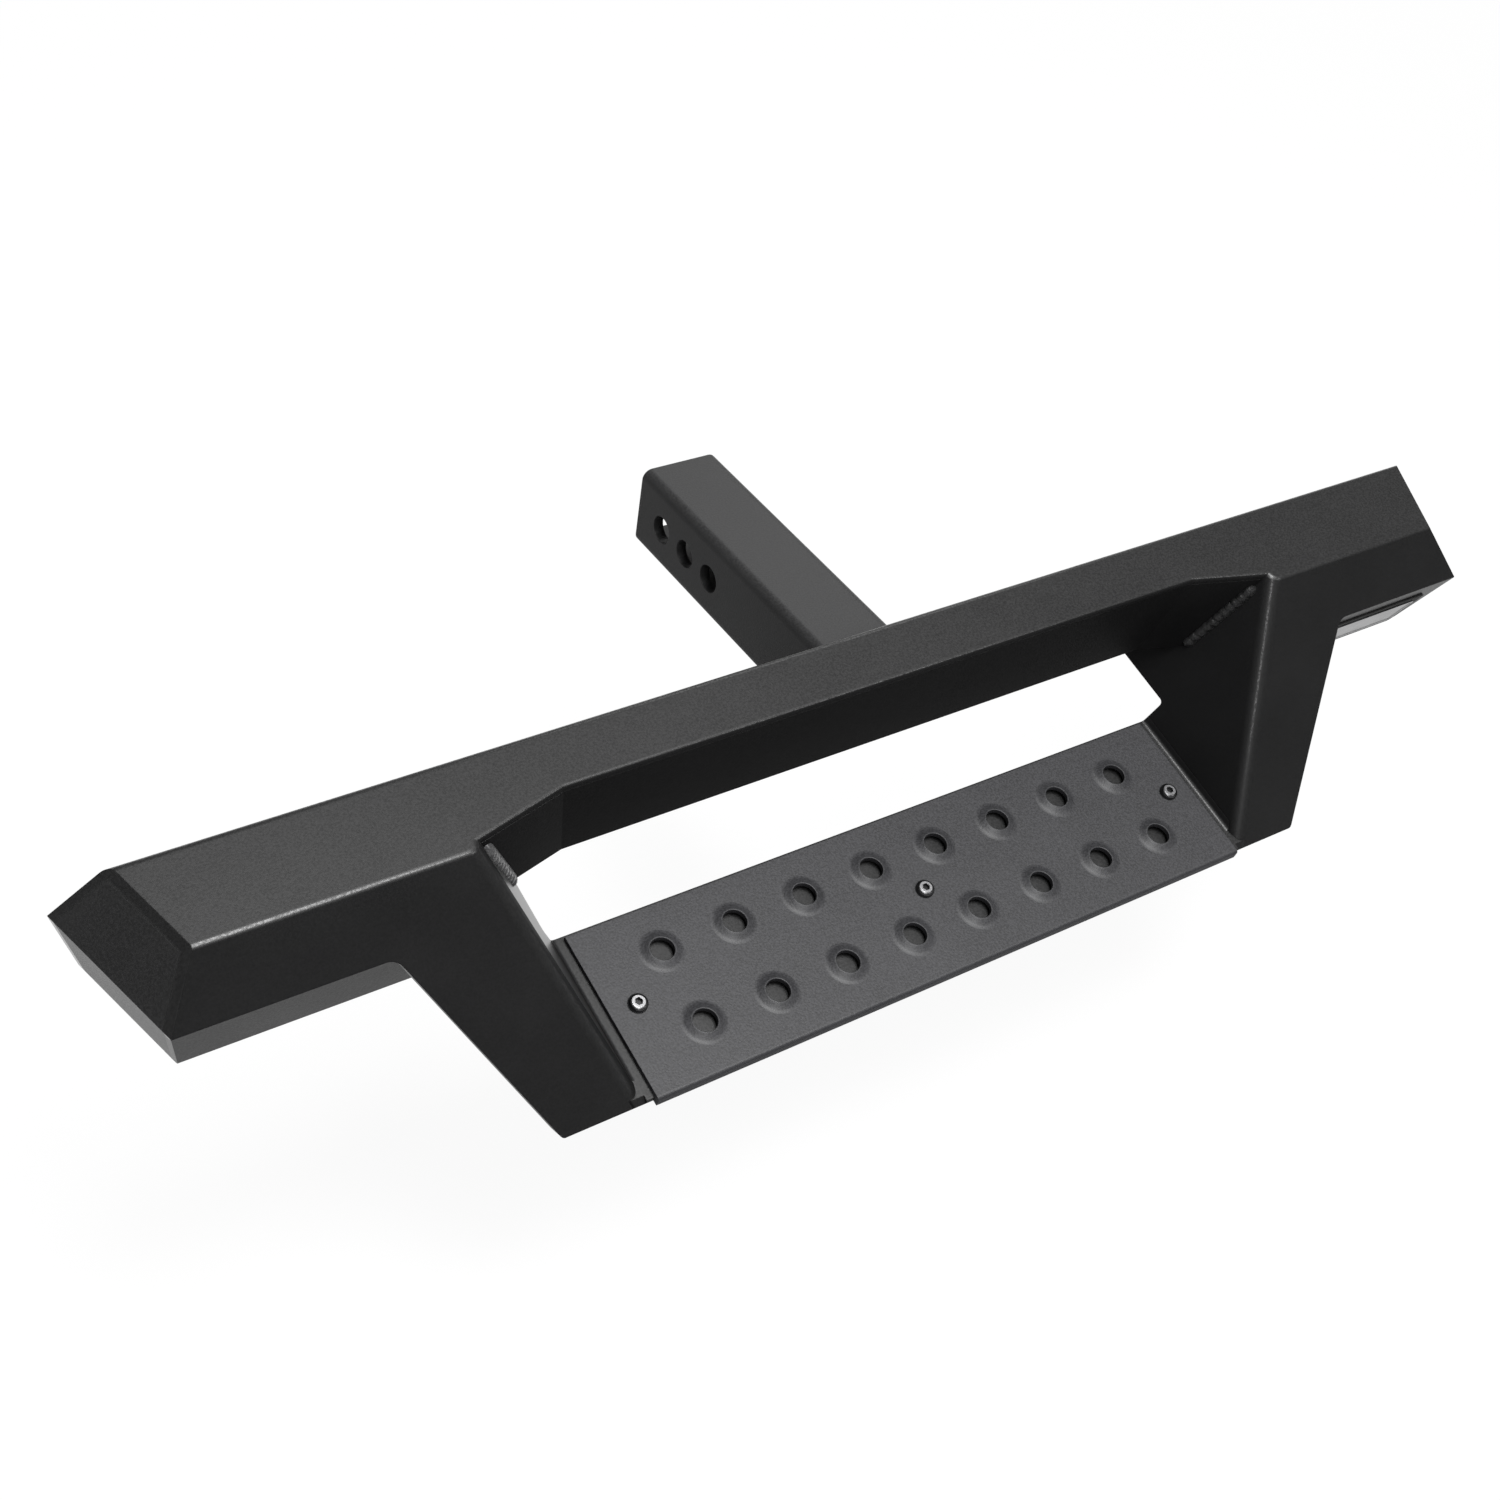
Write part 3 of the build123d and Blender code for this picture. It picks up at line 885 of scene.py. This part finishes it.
@dataclass
class Studio:
    """Pale floor, soft light and the camera at the photograph's angle."""

    camera_place: tuple[float, float, float] = (-591.75 * MM, -756.2 * MM, 678.4 * MM)
    heading: float = 40.32
    pitch: float = 40.87
    roll: float = 10.41
    focal_mm: float = 48.256
    sensor_mm: float = 36.0
    floor_gap: float = 140 * MM
    floor_size: float = 60.0
    floor_tone: float = 0.9
    shadow_share: float = 0.08
    dim: float = 0.26
    wall_top: float = 0.02
    ceiling_foot: float = 0.1
    lamps: tuple[SoftLamp | FarLamp, ...] = (
        FarLamp("overhead", (0.1, -0.14, 0.98), 25.0, 2.25),
        SoftLamp("behind", (0.75, 0.85, 1.0), (0.0, -0.05, 0.0), (0.7, 0.7), 2.5),
        SoftLamp("front", (-0.34, -1.2, 0.96), (0.257, -0.18, 0.03), (0.35, 0.35), 5.0),
        SoftLamp("left_bend", (-0.1, -0.71, 1.06), (-0.38, -0.18, 0.04), (0.6, 0.35), 8.0),
        SoftLamp("recess_edge", (0.82, -1.1, 0.98), (0.1, -0.165, 0.04), (0.5, 0.3), 3.0),
    )

    def build(self) -> None:
        """Build the camera, the floor, the world and the lamps."""
        self._camera()
        self._floor()
        self._world()
        for lamp in self.lamps:
            lamp.build()
        bpy.context.scene.view_settings.view_transform = "Standard"

    def _camera(self) -> None:
        """Place the camera by heading, pitch and roll."""
        heading, pitch, roll = (math.radians(angle) for angle in (self.heading, self.pitch, self.roll))
        level = math.cos(pitch)
        forward = Vector((math.sin(heading) * level, math.cos(heading) * level, -math.sin(pitch)))
        level_right = forward.cross(Z_AXIS).normalized()
        level_up = level_right.cross(forward)
        right = level_right * math.cos(roll) + level_up * math.sin(roll)
        up = right.cross(forward)
        data = bpy.data.cameras.new("photo_camera")
        data.sensor_fit = "HORIZONTAL"
        data.sensor_width = self.sensor_mm
        data.lens = self.focal_mm
        camera = bpy.data.objects.new("photo_camera", data)
        turn = Matrix((right, up, -forward)).transposed().to_4x4()
        camera.matrix_world = Matrix.Translation(Vector(self.camera_place)) @ turn
        bpy.context.scene.collection.objects.link(camera)
        bpy.context.scene.camera = camera

    def _floor(self) -> None:
        """Lay a wide pale floor under the held part, white where it is seen, with the part's shadow."""
        low = CAD_BOX[0][2] - self.floor_gap
        bpy.ops.object.select_all(action="DESELECT")
        bpy.ops.mesh.primitive_plane_add(size=self.floor_size, location=(0, 0, low))
        floor = start_piece("floor")
        material, graph = new_material("pale_floor")
        rays = ("Is Camera Ray", "Is Glossy Ray", "Is Transmission Ray")
        camera, glossy, through = (graph.node("ShaderNodeLightPath", output=name) for name in rays)
        seen = camera.larger(glossy).larger(through)
        plain = graph.node("ShaderNodeBsdfDiffuse", inputs={"Color": grey(self.floor_tone, 1.0)})
        white = graph.node("ShaderNodeEmission", inputs={"Color": (1, 1, 1, 1), "Strength": 1.0})
        share = seen * (1.0 - self.shadow_share)
        graph.finish(graph.between(share, plain, white))
        floor.data.materials.append(material)
        log.info("floor at %.3f m", low)

    def _world(self) -> None:
        """Light the scene softly from all round: white walls near the floor, a dim ceiling."""
        world = bpy.data.worlds.new("studio")
        world.use_nodes = True
        bpy.context.scene.world = world
        graph = Graph(world.node_tree)
        direction = graph.node("ShaderNodeTexCoord", output="Generated")
        height = graph.node("ShaderNodeSeparateXYZ", inputs={"Vector": direction}, output="Z")
        stops = [(self.wall_top, grey(1.0, 1.0)), (self.ceiling_foot, grey(self.dim, 1.0))]
        tone = graph.node("ShaderNodeValToRGB", {"stops": stops}, {"Fac": height})
        light = graph.node("ShaderNodeBackground", inputs={"Color": tone, "Strength": 1.0})
        graph.node("ShaderNodeOutputWorld", inputs={"Surface": light})


def main() -> None:
    """Build every sub-assembly and the studio."""
    logging.basicConfig(level=logging.INFO, format="%(name)s: %(message)s")
    for assembly in (Bar(), Step(), Shank(), Badge()):
        assembly.build()
    Studio().build()


if __name__ == "__main__":
    main()
